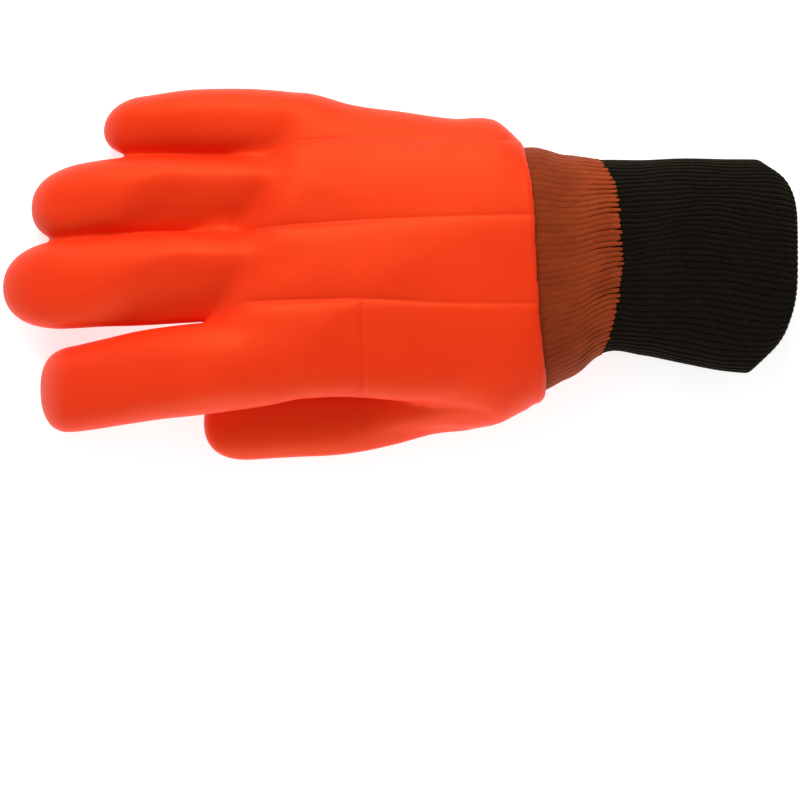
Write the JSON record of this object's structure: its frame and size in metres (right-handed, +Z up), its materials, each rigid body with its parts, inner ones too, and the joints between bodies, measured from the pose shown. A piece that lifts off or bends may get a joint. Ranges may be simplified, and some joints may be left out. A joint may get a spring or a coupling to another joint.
{
  "type": "pvc coated work glove",
  "caption": "Dipped PVC work glove for the right hand, lying palm down with the thumb folded in beside the palm, foam lined, with a folded rib knit wrist.",
  "frame": {"origin": "middle of the underside of the bounding box, on the surface that the glove lies on", "axes": "+X along the glove from the fingertips to the cuff, +Y towards the little finger's side, +Z up out of the back of the hand"},
  "size_m": [0.3008, 0.1404, 0.0518],
  "materials": {
    "pvc_orange": "satin vinyl, softly uneven",
    "pvc_on_knit": "thin dull vinyl over dark ribs",
    "knit_black": "matt rib knit"
  },
  "bodies": {
    "root": {"coated_hand": "pvc_orange", "dipped_wrist_skin": "pvc_on_knit", "knit_cuff": "knit_black"}
  },
  "joints": []
}
